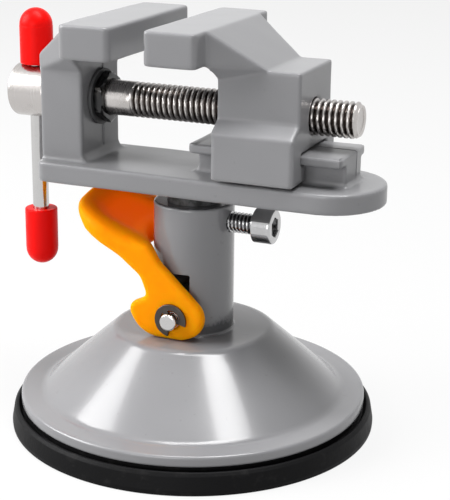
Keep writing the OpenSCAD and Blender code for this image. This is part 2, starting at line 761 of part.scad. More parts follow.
module lead_screw() {
    thread_r = screw_d / 2;
    hub_r = hub_d / 2;
    tip = 1.1;
    color("lightgray") difference() {
        translate([0, 0, screw_z]) along_x() rotate_extrude() polygon(concat(
            [[0, hub_x0], [hub_r - hub_chamfer, hub_x0], [hub_r, hub_x0 + hub_chamfer],
             [hub_r, hub_x1 - hub_chamfer], [hub_r - hub_chamfer, hub_x1],
             [thread_r, hub_x1]],
            thread_outline(thread_r, screw_pitch, -thread_start, screw_reach - tip),
            [[thread_r, screw_reach - tip], [thread_r - tip, screw_reach], [0, screw_reach]]));
        translate([bar_x, 0, screw_z - hub_d]) {
            cylinder(r = bar_d / 2 + fit_gap, h = 2 * hub_d, $fn = small_fn);
        }
    }
}

module hub_washer() {
    color("gainsboro") screw_ring(hub_x1 + fit_gap, washer_d, screw_bore_r, washer_t);
}

module thrust_washer() {
    color("dimgray") screw_ring(fixed_x1 + fit_gap, washer_d, screw_bore_r, washer_t);
}

module retaining_nut() {
    bevel = 0.5;
    corner_d = nut_af / cos(30);
    color("#1c1c1e") translate([nut_x0, 0, screw_z]) along_x() difference() {
        intersection() {
            cylinder(d = corner_d, h = nut_t, $fn = 6);
            union() {
                cylinder(d = corner_d, h = nut_t - bevel);
                translate([0, 0, nut_t - bevel]) {
                    cylinder(r1 = corner_d / 2, r2 = corner_d / 2 - 1.7 * bevel, h = bevel);
                }
            }
        }
        translate([0, 0, -over]) cylinder(d = screw_d + 2 * sliver, h = nut_t + 2 * over);
    }
}

module handle_bar() {
    color("gainsboro") translate([bar_x, 0, bar_foot_z]) {
        cylinder(d = bar_d, h = bar_len, $fn = small_fn);
    }
}

// Cap with a round end, drawn with its mouth at the origin and its end towards +Z
module handle_cap(len) {
    r = cap_d / 2;
    socket_r = bar_d / 2 + sliver;
    rotate_extrude() polygon(concat(
        [[socket_r, 0], [r - 0.4, 0], [r, 0.4]],
        arc(0, len - r, r, 0, 90, 12),
        [[0, len - cap_end_t], [socket_r, len - cap_end_t]]));
}

module upper_cap() {
    color("red") translate([bar_x, 0, upper_cap_z]) handle_cap(upper_cap_len);
}

module lower_cap() {
    color("red") translate([bar_x, 0, bar_foot_z + lower_cap_len - cap_end_t]) {
        mirror([0, 0, 1]) handle_cap(lower_cap_len);
    }
}

base_housing();
suction_cup();
cup_insert();
pull_stem();
spring_seat();
release_spring();
lever_pin();
pin_clips();
cam_lever();
clamp_screw();
swivel_post();
vise_bed();
movable_jaw();
lead_screw();
hub_washer();
thrust_washer();
retaining_nut();
handle_bar();
upper_cap();
lower_cap();
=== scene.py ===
import math

import bmesh
import bpy
import numpy as np
from mathutils import Matrix, Vector


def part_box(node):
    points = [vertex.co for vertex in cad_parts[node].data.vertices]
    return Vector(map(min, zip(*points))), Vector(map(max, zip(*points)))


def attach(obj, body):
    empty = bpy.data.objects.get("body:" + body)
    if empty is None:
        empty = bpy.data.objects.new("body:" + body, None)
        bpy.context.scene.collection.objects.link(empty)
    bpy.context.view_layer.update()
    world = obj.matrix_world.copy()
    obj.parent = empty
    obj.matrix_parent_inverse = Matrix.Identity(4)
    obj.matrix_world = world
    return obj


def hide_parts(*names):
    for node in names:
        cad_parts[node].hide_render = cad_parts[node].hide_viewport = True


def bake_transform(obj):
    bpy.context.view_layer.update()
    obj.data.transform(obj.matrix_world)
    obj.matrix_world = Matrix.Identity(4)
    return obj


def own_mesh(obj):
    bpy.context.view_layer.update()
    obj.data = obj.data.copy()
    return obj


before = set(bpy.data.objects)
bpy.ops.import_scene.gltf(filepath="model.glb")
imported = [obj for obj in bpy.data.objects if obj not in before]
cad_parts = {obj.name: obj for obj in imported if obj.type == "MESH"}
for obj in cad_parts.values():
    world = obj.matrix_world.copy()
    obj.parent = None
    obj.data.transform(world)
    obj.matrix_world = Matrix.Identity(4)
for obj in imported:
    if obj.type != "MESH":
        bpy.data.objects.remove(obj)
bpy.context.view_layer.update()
mm = 0.001


# Lowest and highest corner of a frame solid at rest, in mm
def boxOf(node):
    return [np.array(corner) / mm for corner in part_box(node)]


baseLow, baseHigh = boxOf("base_housing")
bedHigh = boxOf("vise_bed")[1]
screwLow, screwHigh = boxOf("lead_screw")
barLow, barHigh = boxOf("handle_bar")
clampLow, clampHigh = boxOf("clamp_screw")
pinLow, pinHigh = boxOf("lever_pin")
screwZ = (screwLow[2] + screwHigh[2]) / 2
clampZ = (clampLow[2] + clampHigh[2]) / 2
barX = (barLow[0] + barHigh[0]) / 2
pinZ = (pinLow[2] + pinHigh[2]) / 2
bedTop = boxOf("movable_jaw")[0][2]
welded, degenerate = 2e-6, 1e-7  # metres


# A grid of points becomes quads: neighbours along both parameters are joined, and either
# parameter may wrap round to its start.
def gridFaces(nu, nv, wrapU, wrapV):
    uu, vv = np.mgrid[:nu if wrapU else nu - 1, :nv if wrapV else nv - 1]
    un, vn = (uu + 1) % nu, (vv + 1) % nv
    quads = np.stack([uu * nv + vv, un * nv + vv, un * nv + vn, uu * nv + vn], -1)
    return quads.reshape(-1, 4)


# Points in mm on a grid become a mesh in metres. Points that coincide are merged, which closes
# poles and seams, and the faces are turned outwards.
def meshFromGrid(name, grid, wrapU=True, wrapV=False):
    mesh = bpy.data.meshes.new(name)
    faces = gridFaces(*grid.shape[:2], wrapU, wrapV)
    mesh.from_pydata((grid.reshape(-1, 3) * mm).tolist(), [], faces.tolist())
    tidyMesh(mesh)
    return mesh


# Vertices that coincide are merged and, where an angle is given, faces flatter than it are joined
def tidyMesh(mesh, flat=0):
    work = bmesh.new()
    work.from_mesh(mesh)
    bmesh.ops.remove_doubles(work, verts=work.verts, dist=welded)
    bmesh.ops.dissolve_degenerate(work, dist=degenerate, edges=work.edges)
    if flat:
        bmesh.ops.dissolve_limit(work, angle_limit=flat, verts=work.verts, edges=work.edges)
    bmesh.ops.recalc_face_normals(work, faces=work.faces)
    work.to_mesh(mesh)
    work.free()


# A rounding takes up at most this share of the shorter side, and an extra point stands this
# share of its reach before and after it.
roundingLimit, roundingLead = 0.45, 0.08


# Corners (across, along, radius) of a profile are rounded: the curve starts and ends at radius
# times tan(half the turn) from the corner, and is quadratic with the corner as its middle point.
def rounded(corners, steps=6):
    corners = np.asarray(corners, float)
    spots, radii = corners[:, :2], corners[:, 2]
    t = np.linspace(0, 1, steps + 1)[:, None]
    points = [spots[:1]]
    for before, here, after, radius in zip(spots[:-2], spots[1:-1], spots[2:], radii[1:-1]):
        if radius == 0:
            points.append(here[None])
            continue
        back, on = before - here, after - here
        lengths = np.linalg.norm(back), np.linalg.norm(on)
        turn = math.pi - math.acos(np.clip(back @ on / (lengths[0] * lengths[1]), -1, 1))
        reach = min(radius * math.tan(turn / 2), roundingLimit * min(lengths))
        start, end = here + back / lengths[0] * reach, here + on / lengths[1] * reach
        points.append(start[None] + (start - here) * roundingLead)
        points.append((1 - t) ** 2 * start + 2 * t * (1 - t) * here + t ** 2 * end)
        points.append(end[None] + (end - here) * roundingLead)
    points.append(spots[-1:])
    return np.concatenate(points)


def anglesRound(steps):
    return np.linspace(0, 2 * np.pi, steps, endpoint=False)[:, None]


# A turned shape: the angle runs round the axis and the rows give a radius and a distance along
# it. The radius may also differ from angle to angle, as it does on a thread or a hexagon.
def turned(radius, along, steps, axis="z", at=(0, 0, 0)):
    angle = anglesRound(steps)
    radius, along = np.broadcast_arrays(radius, along, np.empty((steps, np.size(along))))[:2]
    first, second = radius * np.cos(angle), radius * np.sin(angle)
    order = {"x": [along, first, second], "y": [first, along, second],
             "z": [first, second, along]}[axis]
    return np.stack(order, -1) + np.asarray(at, float)


def turnedMesh(name, profile, steps, axis="z", at=(0, 0, 0)):
    return meshFromGrid(name, turned(profile[:, 0], profile[:, 1], steps, axis, at))


threadForm = {"flat": 0.26, "flank": 0.62}


# Share of the thread's depth at each angle and distance: a vee that moves on by one pitch for each
# turn, less the crest's flat, over the flank's width, and held at 1 for the root's flat.
def threadShare(along, pitch, steps):
    angle = np.linspace(0, 1, steps, endpoint=False)[:, None]
    phase = (along / pitch - angle) % 1
    return np.clip((1 - np.abs(2 * phase - 1) - threadForm["flat"]) / threadForm["flank"], 0, 1)


# Radius of a hexagon with soft corners at each angle: the half width across the flats, divided
# by a power mean of the cosines to the six flats.
def hexRadius(acrossFlats, steps, sharpness):
    flats = np.arange(6) * np.pi / 3
    reach = np.clip(np.cos(anglesRound(steps) - flats), 0, 1) ** sharpness
    return acrossFlats / 2 * reach.sum(1, keepdims=True) ** (-1 / sharpness)


# From 0 at low to 1 at high, as three times the square less twice the cube of the way between
def smoothStep(low, high, value):
    t = np.clip((value - low) / (high - low), 0, 1)
    return t * t * (3 - 2 * t)


def newObject(name, data):
    made = bpy.data.objects.new(name, data)
    bpy.context.scene.collection.objects.link(made)
    return made


def dropObject(piece):
    mesh = piece.data
    bpy.data.objects.remove(piece)
    bpy.data.meshes.remove(mesh)


def applyModifiers(piece, name):
    graph = bpy.context.evaluated_depsgraph_get()
    graph.update()
    mesh = bpy.data.meshes.new_from_object(piece.evaluated_get(graph))
    mesh.name = name
    dropObject(piece)
    return mesh


# The cutters' shapes are taken out of a closed mesh
def cutOut(mesh, cutters):
    name = mesh.name
    body = newObject("cutBody", mesh)
    tools = [newObject("cutter", cutter) for cutter in cutters]
    for tool in tools:
        modifier = body.modifiers.new("cut", "BOOLEAN")
        modifier.operation, modifier.solver, modifier.object = "DIFFERENCE", "MANIFOLD", tool
    result = applyModifiers(body, name)
    for tool in tools:
        dropObject(tool)
    return result


# A frame solid's own mesh, tidied and without its stored normals
def plainCopy(node, flat=0):
    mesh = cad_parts[node].data.copy()
    stored = mesh.attributes.get("custom_normal")
    if stored is not None:
        mesh.attributes.remove(stored)
    tidyMesh(mesh, flat)
    return mesh


# Directions of the castings' waves, in radians for each mm, and where each wave starts
waveWays = np.array([[0.31, 0.23, 0.12], [-0.14, 0.37, 0.28], [0.21, -0.19, 0.43]])
waveStarts = np.array([0.0, 1.7, 0.6])


# A casting or moulding from a frame solid. The solid is remeshed to small even faces, and each
# vertex then moves half way to the mean of its neighbours again and again, which rounds the
# edges and fills the inner corners. Last, slow sine waves along the normals make the surface a
# little uneven, and nothing leaves the solid's own box.
def castFrom(node, settings):
    piece = newObject("raw", plainCopy(node))
    modifier = piece.modifiers.new("evenFaces", "REMESH")
    modifier.mode = "VOXEL"
    modifier.voxel_size = settings["voxel"] * mm
    modifier.adaptivity = 0
    mesh = applyModifiers(piece, node + "Cast")
    points = readPoints(mesh)
    a, b = readRows(mesh.edges, "vertices", 2, np.int64).T
    both, other = np.concatenate([a, b]), np.concatenate([b, a])
    count = np.bincount(both, minlength=len(points))[:, None]
    for _ in range(settings["rounds"]):
        total = np.stack([np.bincount(both, points[other, k], len(points)) for k in range(3)], -1)
        points += 0.5 * (total / count - points)
    writePoints(mesh, points)
    waves = np.sin(points @ waveWays.T + waveStarts).mean(1)
    points += readRows(mesh.vertex_normals, "vector") * waves[:, None] * settings["waves"]
    writePoints(mesh, np.clip(points, *boxOf(node)))
    return mesh


# One value of every item, as rows
def readRows(items, name, width=3, kind=float):
    values = np.empty(len(items) * width, kind)
    items.foreach_get(name, values)
    return values.reshape(-1, width)


def readPoints(mesh):
    return readRows(mesh.vertices, "co") / mm


def writePoints(mesh, points):
    mesh.vertices.foreach_set("co", (points * mm).ravel())
    mesh.update()


def paintSolid(node, material):
    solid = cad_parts[node].data
    solid.materials.clear()
    solid.materials.append(material)


# A visible piece: edges sharper than the angle stay sharp, and 0 leaves every edge smooth. The
# solids that it replaces get its material too.
def addPiece(name, mesh, body, material, replaces=(), sharp=35):
    piece = newObject(name, mesh)
    mesh.materials.clear()
    mesh.materials.append(material)
    mesh.shade_smooth()
    if sharp:
        mesh.set_sharp_from_angle(angle=math.radians(sharp))
    if body:
        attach(piece, body)
    if replaces:
        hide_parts(*replaces)
    for node in replaces:
        paintSolid(node, material)
    return piece


def addNode(tree, kind, inputs=None, **values):
    node = tree.nodes.new("ShaderNode" + kind)
    for key, value in values.items():
        setattr(node, key, value)
    for key, value in (inputs or {}).items():
        plug(tree, node.inputs[key], value)
    return node


def plug(tree, socket, value):
    if isinstance(value, bpy.types.NodeSocket):
        tree.links.new(value, socket)
    else:
        socket.default_value = value


socketKinds = {"Color": "Color", "Rings along": "Vector"}
skinOutputs = ["Color", "Roughness", "Height"]


# A group has named inputs and outputs, and each is a plain number unless it has a kind above
def newGroup(name, inputs, outputs=skinOutputs):
    group = bpy.data.node_groups.new(name, "ShaderNodeTree")
    for side, labels in (("INPUT", inputs), ("OUTPUT", outputs)):
        for label in labels:
            kind = "NodeSocket" + socketKinds.get(label, "Float")
            group.interface.new_socket(label, in_out=side, socket_type=kind)
    given, made = group.nodes.new("NodeGroupInput"), group.nodes.new("NodeGroupOutput")
    return group, given.outputs, made.inputs, addNode(group, "TexCoord").outputs["Object"]


# A group placed in a tree, with those values that it has an input for
def useGroup(tree, group, values):
    node = addNode(tree, "Group", node_tree=group)
    for label in [label for label in values if label in node.inputs]:
        plug(tree, node.inputs[label], values[label])
    return node


# A node in the tree of the first socket among its inputs
def nextNode(kind, inputs, **values):
    socket = next(v for v in inputs.values() if isinstance(v, bpy.types.NodeSocket))
    return addNode(socket.id_data, kind, inputs, **values)


def mathNode(operation, a, b):
    return nextNode("Math", {0: a, 1: b}, operation=operation).outputs[0]


def times(a, b):
    return mathNode("MULTIPLY", a, b)


def plus(a, b):
    return mathNode("ADD", a, b)


def vectorNode(operation, inputs):
    return nextNode("VectorMath", inputs, operation=operation).outputs


def noiseNode(vector, scale, detail, rough=0.5):
    inputs = {"Vector": vector, "Scale": scale, "Detail": detail, "Roughness": rough}
    return nextNode("TexNoise", inputs).outputs["Fac"]


def rampNode(value, low, high, outLow=0.0, outHigh=1.0):
    inputs = {"Value": value, "From Min": low, "From Max": high, "To Min": outLow, "To Max": outHigh}
    return nextNode("MapRange", inputs, clamp=True).outputs["Result"]


def mixColor(amount, a, b, blend="MIX"):
    node = nextNode("Mix", {0: amount, 6: a, 7: b}, data_type="RGBA", blend_type=blend)
    return node.outputs[2]


# A skin is a group that gives a colour, a roughness and a height from the place on the object
def finishSkin(group, made, *values):
    for label, value in zip(skinOutputs, values):
        group.links.new(value, made[label])
    return group


# Scales are in bumps for each metre, and a pair is the range that a value is spread over
enamelLook = {
    "fine": 2400.0, "drift": 28.0, "speck": 620.0, "driftFrom": (0.3, 0.7), "speckFrom": (0.75, 0.765),
    "shade": (0.95, 1.05), "gloss": (-0.03, 0.05), "speckShare": 0.12,
    "speckColor": (0.08, 0.08, 0.08, 1), "fineHeight": 0.12, "speckDepth": 0.8}


# Enamel sprayed on a casting: a slow drift in its shade, orange peel, and a few small pinholes
def makeEnamelSkin(look):
    group, given, made, place = newGroup("enamelSkin", ["Color", "Peel size", "Roughness"])
    peel = noiseNode(place, mathNode("DIVIDE", 1 / mm, given["Peel size"]), 2.0)
    fine = noiseNode(place, look["fine"], 2.0)
    drift = noiseNode(place, look["drift"], 3.0)
    speck = rampNode(noiseNode(place, look["speck"], 1.0), *look["speckFrom"])
    shade = rampNode(drift, *look["driftFrom"], *look["shade"])
    gray = nextNode("CombineColor", {0: shade, 1: shade, 2: shade}).outputs[0]
    tinted = mixColor(1.0, given["Color"], gray, "MULTIPLY")
    color = mixColor(times(speck, look["speckShare"]), tinted, look["speckColor"])
    rough = plus(given["Roughness"], rampNode(drift, *look["driftFrom"], *look["gloss"]))
    height = plus(peel, times(fine, look["fineHeight"]))
    pitted = mathNode("SUBTRACT", height, times(speck, look["speckDepth"]))
    return finishSkin(group, made, color, rough, pitted)


metalLook = {
    "rings": 5200.0, "blot": 160.0, "blotFrom": (0.5, 0.8), "ringsFrom": (0.2, 0.8),
    "gloss": (-0.04, 0.06), "stainGloss": 0.25, "stainColor": (0.16, 0.14, 0.12, 1)}


# Turned or drawn metal: fine rings about its own axis, and a few stains
def makeMetalSkin(look):
    group, given, made, place = newGroup(
        "metalSkin", ["Color", "Rings along", "Roughness", "Stain"])
    squeezed = vectorNode("MULTIPLY", {0: place, 1: given["Rings along"]})[0]
    rings = noiseNode(squeezed, look["rings"], 3.0, 0.6)
    blot = noiseNode(place, look["blot"], 4.0, 0.6)
    stain = times(rampNode(blot, *look["blotFrom"]), given["Stain"])
    color = mixColor(stain, given["Color"], look["stainColor"])
    uneven = rampNode(rings, *look["ringsFrom"], *look["gloss"])
    rough = plus(given["Roughness"], plus(uneven, times(stain, look["stainGloss"])))
    return finishSkin(group, made, color, rough, rings)


mouldedLook = {
    "drift": 70.0, "dust": 210.0, "driftFrom": (0.35, 0.7), "dustFrom": (0.55, 0.75),
    "glossFrom": (0.3, 0.75), "gloss": (-0.04, 0.08), "darker": (0.72, 0.66, 0.62, 1),
    "dustColor": (0.32, 0.31, 0.3, 1)}


# Moulded plastic or rubber: a faint grain, slow shade drift and a little dust in places
def makeMouldedSkin(look):
    group, given, made, place = newGroup(
        "mouldedSkin", ["Color", "Grain size", "Roughness", "Dust", "Drift"])
    grain = noiseNode(place, mathNode("DIVIDE", 1 / mm, given["Grain size"]), 3.0)
    drift = noiseNode(place, look["drift"], 3.0)
    dusty = noiseNode(place, look["dust"], 5.0, 0.65)
    darker = mixColor(1.0, given["Color"], look["darker"], "MULTIPLY")
    amount = times(rampNode(drift, *look["driftFrom"]), given["Drift"])
    toned = mixColor(amount, given["Color"], darker)
    dust = times(rampNode(dusty, *look["dustFrom"]), given["Dust"])
    rough = plus(given["Roughness"], rampNode(dusty, *look["glossFrom"], *look["gloss"]))
    return finishSkin(group, made, mixColor(dust, toned, look["dustColor"]), rough, grain)


paintedColumnShadeLook = {"uneven": 380.0, "unevenFrom": (0.3, 0.7), "unevenTo": (-0.4, 0.4), "fadeFrom": (0.5, 1.0)}


# Painted shade at a column's foot or head: 1 at that height, fading away from it to an uneven
# edge, and only within a radius of the column's axis. A negative spread makes it fade downwards.
def makePaintedColumnShade(look):
    group, given, made, place = newGroup("paintedColumnShade", ["Foot", "Spread", "Radius"], ["Amount"])
    height = nextNode("SeparateXYZ", {0: place}).outputs["Z"]
    flat = vectorNode("MULTIPLY", {0: place, 1: (1, 1, 0)})[0]
    reach = vectorNode("LENGTH", {0: flat})["Value"]
    near = mathNode("LESS_THAN", reach, given["Radius"])
    above = mathNode("SUBTRACT", height, given["Foot"])
    rise = mathNode("DIVIDE", above, given["Spread"])
    spots = noiseNode(place, look["uneven"], 4.0, 0.65)
    uneven = plus(rise, rampNode(spots, *look["unevenFrom"], *look["unevenTo"]))
    faded = rampNode(uneven, *look["fadeFrom"], 1.0, 0.0)
    group.links.new(times(near, faded), made["Amount"])
    return group


enamelSkin = makeEnamelSkin(enamelLook)
metalSkin = makeMetalSkin(metalLook)
mouldedSkin = makeMouldedSkin(mouldedLook)


def startMaterial(name):
    material = bpy.data.materials.new(name)
    material.use_nodes = True
    material.node_tree.nodes.clear()
    return material, material.node_tree


# The skin's colour, roughness and height go to one shader, with fixed values beside them
def finishMaterial(name, group, finish, fixed):
    material, tree = startMaterial(name)
    skin = useGroup(tree, group, finish)
    bumped = nextNode("Bump", {"Height": skin.outputs["Height"], "Distance": finish["bump"] * mm})
    shader = addNode(tree, "BsdfPrincipled", {
        "Base Color": skin.outputs["Color"], "Roughness": skin.outputs["Roughness"],
        "Normal": bumped.outputs[0], **fixed})
    addNode(tree, "OutputMaterial", {0: shader.outputs[0]})
    return material


def metal(name, finish, rings, metallic=1.0):
    return finishMaterial(name, metalSkin, {**finish, "Rings along": rings}, {"Metallic": metallic})


# Colours are linear, sizes and bumps are in mm, and the places of painted shade are in metres
baseFinish = {
    "Color": (0.195, 0.195, 0.202, 1), "Peel size": 3.0, "Roughness": 0.22, "bump": 0.008,
    # The next colour and places paint shade: a dark band at the column's foot and on its top face under
    # the bed
    "footColor": (0.08, 0.08, 0.085, 1),
    "foot": {"Foot": 28.2 * mm, "Spread": 4.8 * mm, "Radius": 11.75 * mm},
    "top": {"Foot": 65.6 * mm, "Spread": -0.4 * mm, "Radius": 11.2 * mm}}
viseFinish = {"Color": (0.2, 0.2, 0.207, 1), "Peel size": 2.2, "Roughness": 0.3, "bump": 0.012}
basePaint = finishMaterial("baseEnamel", enamelSkin, baseFinish, {
    "Coat Weight": 0.3, "Coat Roughness": 0.1, "Specular IOR Level": 0.4})
visePaint = finishMaterial("viseEnamel", enamelSkin, viseFinish, {
    "Coat Weight": 0.1, "Coat Roughness": 0.12, "Specular IOR Level": 0.35})

cupFinish = {
    "Color": (0.003, 0.003, 0.0034, 1), "Grain size": 0.9, "Roughness": 0.5, "Dust": 0.03, "Drift": 0.3,
    "bump": 0.05}
# The lever's second colour is painted shade, and its glow a painted glow, for the thumb rest's shaded
# top and heel
leverFinish = {
    "Color": (0.96, 0.29, 0.001, 1), "deepColor": (1.0, 0.2, 0.001, 1), "glow": (1.0, 0.1, 0.0, 1),
    "Grain size": 0.6, "Roughness": 0.45, "Dust": 0.0, "Drift": 0.2, "bump": 0.008}
capFinish = {
    "Color": (0.78, 0.004, 0.003, 1), "Grain size": 0.8, "Roughness": 0.34, "Dust": 0.0, "Drift": 0.2,
    "bump": 0.005}
cupRubber = finishMaterial("cupRubber", mouldedSkin, cupFinish, {"Specular IOR Level": 0.09})
# Its emission strength lights the painted glow in the thumb rest's shaded top
leverPlastic = finishMaterial("leverPlastic", mouldedSkin, leverFinish, {
    "Specular IOR Level": 0.03, "Subsurface Weight": 0.7, "Subsurface Scale": 0.009,
    "Subsurface Radius": (1.0, 0.4, 0.1), "Emission Strength": 0.3})
capPlastic = finishMaterial("capPlastic", mouldedSkin, capFinish, {"Specular IOR Level": 0.08})

brightFinish = {"Color": (0.55, 0.545, 0.54, 1), "Roughness": 0.12, "Stain": 0.1, "bump": 0.001}
clampFinish = {
    "Color": (0.5, 0.5, 0.505, 1), "Roughness": 0.1, "Stain": 0.2, "bump": 0.001,
    # The last colour is painted shade for the thread's roots
    "grimeColor": (0.15, 0.15, 0.155, 1)}
plainFinish = {"Color": (0.42, 0.42, 0.41, 1), "Roughness": 0.32, "Stain": 0.3, "bump": 0.004}
screwFinish = {
    "Color": (0.84, 0.81, 0.79, 1), "Roughness": 0.24, "Stain": 0.25, "bump": 0.002,
    # The last colour is painted shade for the thread's roots, hub and end
    "grimeColor": (0.055, 0.042, 0.037, 1)}
clipFinish = {"Color": (0.07, 0.062, 0.057, 1), "Roughness": 0.34, "Stain": 0.4, "bump": 0.003}
wireFinish = {"Color": (0.3, 0.3, 0.3, 1), "Roughness": 0.3, "Stain": 0.2, "bump": 0.002}
blackFinish = {"Color": (0.045, 0.045, 0.046, 1), "Roughness": 0.16, "Stain": 0.5, "bump": 0.008}
washerFinish = {"Color": (0.05, 0.05, 0.052, 1), "Roughness": 0.6, "Stain": 0.2, "bump": 0.003}
postFinish = {
    "Color": (0.1, 0.1, 0.105, 1), "Roughness": 0.5, "Stain": 0.4, "bump": 0.003,
    # Painted shadow: the post goes near black towards its top, in the gap under the bed
    "dirtColor": (0.004, 0.004, 0.004, 1),
    "dirt": {"Foot": 70 * mm, "Spread": -5.4 * mm, "Radius": 12 * mm}}
alongX, alongY, alongZ = (1.0, 0.03, 0.03), (0.03, 1.0, 0.03), (0.03, 0.03, 1.0)
allRound = (1.0, 1.0, 1.0)
brightX = metal("brightSteelX", brightFinish, alongX)
brightY = metal("brightSteelY", brightFinish, alongY)
brightZ = metal("brightSteelZ", brightFinish, alongZ)
clampMetal = metal("clampSteel", clampFinish, alongX)
plainZ = metal("plainSteelZ", plainFinish, alongZ)
screwMetal = metal("screwSteel", screwFinish, alongX)
clipMetal = metal("clipSteel", clipFinish, allRound)
wireMetal = metal("springWire", wireFinish, allRound)
blackMetal = metal("blackOxide", blackFinish, allRound)
washerMetal = metal("grayWasher", washerFinish, allRound, 0.0)
postMetal = metal("oiledPost", postFinish, alongZ, 0.0)


# A share between 0 and 1 mixes a second colour into a skin's colour
def tintBy(material, amount, plain, tinted):
    tree = material.node_tree
    skin = next(n for n in tree.nodes if n.type == "GROUP" and "Color" in n.inputs)
    plug(tree, skin.inputs["Color"], mixColor(amount, plain, tinted))


# Painted glow: an emission colour, by the share, keeps a shaded place from going dark, standing
# in for light spread through the plastic
def paintGlowBy(material, amount, glow):
    tree = material.node_tree
    shader = next(n for n in tree.nodes if n.type == "BSDF_PRINCIPLED")
    plug(tree, shader.inputs["Emission Color"], mixColor(amount, (0, 0, 0, 1), glow))


# The share that a mesh carries at its points
def carried(material, name):
    return addNode(material.node_tree, "Attribute", attribute_name=name).outputs["Fac"]


# Painted shade: where the mesh's share is high, the lever goes deep red instead of lit orange
paintedShadeShare = carried(leverPlastic, "paintedDeepShade")
tintBy(leverPlastic, paintedShadeShare, leverFinish["Color"], leverFinish["deepColor"])
# Painted glow: the same share makes the shaded top give off red light
paintGlowBy(leverPlastic, paintedShadeShare, leverFinish["glow"])
# Painted shade: thread roots go dark, hub and crests a little, and the bare shank stays lighter as a
# painted highlight
for material, finish in ((screwMetal, screwFinish), (clampMetal, clampFinish)):
    tintBy(material, carried(material, "paintedThreadShade"), finish["Color"], finish["grimeColor"])
paintedColumnShade = makePaintedColumnShade(paintedColumnShadeLook)
baseTree = basePaint.node_tree
# Painted shade: the base darkens at the column's foot, where the shoulder meets it, and on its top face
# under the bed
paintedBaseShade = [useGroup(baseTree, paintedColumnShade, baseFinish[k]).outputs[0] for k in ("foot", "top")]
tintBy(basePaint, mathNode("MAXIMUM", *paintedBaseShade), baseFinish["Color"], baseFinish["footColor"])
# Painted shadow on the post's top, under the bed
paintedPostShade = useGroup(postMetal.node_tree, paintedColumnShade, postFinish["dirt"])
tintBy(postMetal, paintedPostShade.outputs[0], postFinish["Color"], postFinish["dirtColor"])
for node, material in {"cup_insert": plainZ, "pull_stem": plainZ, "spring_seat": plainZ,
                       "swivel_post": postMetal, "hub_washer": brightX}.items():
    paintSolid(node, material)
print("materials made")


# Base housing: radii, heights and other lengths in mm, like those of all pieces below
baseShape = {
    "steps": 288, "rimRound": 0.9, "coneFoot": 43.1, "coneFillet": 3.5, "rimHeight": 3.1, "wall": 3.0,
    "shoulder": 22.4, "shoulderZ": 28.4, "shoulderRound": 3.5, "column": 11.4, "columnFillet": 0.8,
    "columnRound": 0.9, "bore": 7.55, "boreDepth": 15.5, "well": 6.5, "stemBore": 4.55, "guide": 8.0,
    "guideLength": 6.4, "slotWidth": 7.0, "slotBelowPin": 3.45, "slotHeight": 15.6, "slotCorner": 0.6,
    "slotCornerSteps": 7, "threadHole": 3.0, "cutPast": 2.0}


# One closed profile, out over the rim and cone, up the column, down its bore and back along the
# inside of the cone, is turned about the column's axis. The cone's inner side is its outer side
# moved in by the wall.
def makeBaseMesh(s):
    rim, bottom, top = baseHigh[0], baseLow[2], baseHigh[2]
    rimTop, shoulder = bottom + s["rimHeight"], s["shoulderZ"]
    slope = (s["coneFoot"] - s["shoulder"]) / (shoulder - rimTop)
    inside = s["coneFoot"] - s["wall"] * math.hypot(1, slope)
    roof, boreEnd, guideEnd = shoulder - s["wall"], top - s["boreDepth"], shoulder - s["guideLength"]
    profile = rounded([
        (inside + 4, bottom, 0), (rim, bottom, 0.6), (rim, rimTop, s["rimRound"]),
        (s["coneFoot"], rimTop, s["coneFillet"]), (s["shoulder"], shoulder, s["shoulderRound"]),
        (s["column"], shoulder, s["columnFillet"]), (s["column"], top, s["columnRound"]),
        (s["bore"], top, 0.4), (s["bore"], boreEnd, 0.2), (s["well"], boreEnd, 0.2),
        (s["well"], shoulder, 0.5), (s["stemBore"], shoulder, 0.2), (s["stemBore"], guideEnd, 0.2),
        (s["guide"], guideEnd, 0.5), (s["guide"], roof, 1.0),
        (inside - (roof - rimTop) * slope, roof, 2.0), (inside, rimTop, 1.0),
        (inside, bottom, 0.3), (inside + 4, bottom, 0)])
    return turnedMesh("baseCasting", profile, s["steps"])


# A bar with a rounded rectangle for its section, along Y: four quarter circles joined by flats
def makeSlotCutter(s):
    quarter = np.linspace(0, np.pi / 2, s["slotCornerSteps"])
    angle = np.concatenate([quarter + k * np.pi / 2 for k in range(4)])
    r = s["slotCorner"]
    halfX, halfZ = s["slotWidth"] / 2 - r, s["slotHeight"] / 2 - r
    x = np.sign(np.cos(angle + 1e-9)) * halfX + r * np.cos(angle)
    z = np.sign(np.sin(angle + 1e-9)) * halfZ + r * np.sin(angle)
    middle = pinZ - s["slotBelowPin"] + s["slotHeight"] / 2
    reach = s["column"] + s["cutPast"]
    share = np.array([0, 1, 1, 0])
    along = np.tile([-reach, -reach, reach, reach], (len(x), 1))
    grid = np.stack([x[:, None] * share, along, z[:, None] * share + middle], -1)
    return meshFromGrid("slotCutter", grid)


# A cylinder: out from the axis at its start, along, and back in at its end
def makeHoleCutter(radius, start, end, axis, at):
    profile = np.array([[0, start], [radius, start], [radius, end], [0, end]])
    return turnedMesh("holeCutter", profile, 48, axis, at)


clampHole = makeHoleCutter(
    baseShape["threadHole"], baseShape["well"], baseShape["column"] + baseShape["cutPast"], "x",
    (0, 0, clampZ))
baseMesh = cutOut(makeBaseMesh(baseShape), [makeSlotCutter(baseShape), clampHole])
addPiece("baseCasting", baseMesh, "base", basePaint, ["base_housing"], sharp=40)
print("base made")


